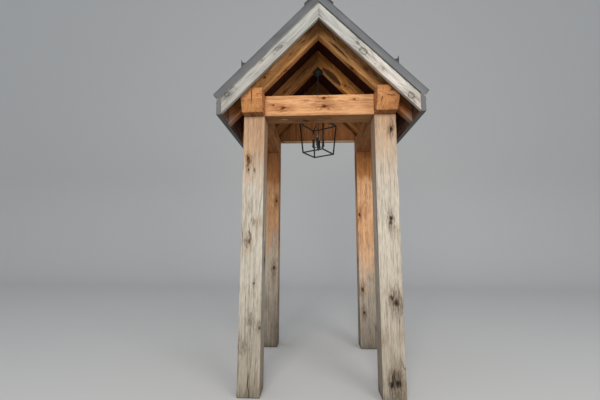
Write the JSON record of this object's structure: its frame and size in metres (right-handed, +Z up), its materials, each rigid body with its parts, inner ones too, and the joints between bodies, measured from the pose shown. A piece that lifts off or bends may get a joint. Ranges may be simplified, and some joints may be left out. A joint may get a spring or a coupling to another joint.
{
  "type": "porch canopy",
  "caption": "Gabled timber porch canopy on square posts that shelters a door, with a ribbed metal roof and a hanging lantern.",
  "frame": {"origin": "middle of the outline in plan, at ground level", "axes": "+X along the wall, +Y into the wall that the canopy stands against, +Z up"},
  "size_m": [1.8442, 1.5976, 3.5725],
  "materials": {
    "post_timber": "rough sawn, weathered pale grey, warmer towards the top",
    "beam_timber": "rough sawn, honey brown",
    "rafter_timber": "rough sawn, brown",
    "grey_boards": "weathered light grey",
    "deck_timber": "rough sawn, dark brown",
    "wall_timber": "rough sawn, brown",
    "roof_metal": "satin charcoal",
    "trim_metal": "satin grey",
    "closure_foam": "matt black foam",
    "guard_metal": "satin black",
    "lantern_metal": "matt black",
    "bulb_glass": "clear"
  },
  "bodies": {
    "root": {"front_post_left": "post_timber", "front_post_right": "post_timber", "rear_post_left": "post_timber", "rear_post_right": "post_timber", "plate_left": "beam_timber", "plate_right": "beam_timber", "front_tie_beam": "beam_timber", "front_rafter_left": "rafter_timber", "front_rafter_right": "rafter_timber", "middle_rafter_left": "rafter_timber", "middle_rafter_right": "rafter_timber", "rear_rafter_left": "rafter_timber", "rear_rafter_right": "rafter_timber", "rake_board_left": "grey_boards", "rake_board_right": "grey_boards", "fascia_left": "grey_boards", "fascia_right": "grey_boards", "deck_boards_left": "deck_timber", "deck_boards_right": "deck_timber", "back_boards": "wall_timber", "back_board_strip": "wall_timber", "roof_panel_left": "roof_metal", "roof_panel_right": "roof_metal", "ridge_cap": "roof_metal", "wall_flashing_left": "roof_metal", "wall_flashing_right": "roof_metal", "rake_trim_left": "trim_metal", "rake_trim_right": "trim_metal", "eave_trim_left": "trim_metal", "eave_trim_right": "trim_metal", "fascia_cap_left": "trim_metal", "fascia_cap_right": "trim_metal", "ridge_closures": "closure_foam", "snow_guards_left": "guard_metal", "snow_guards_right": "guard_metal", "lantern_wedge": "lantern_metal", "lantern_rose": "lantern_metal", "lantern_stem": "lantern_metal", "lantern_cage": "lantern_metal", "candle_cluster": "lantern_metal", "candle_bulbs": "bulb_glass"}
  },
  "joints": []
}
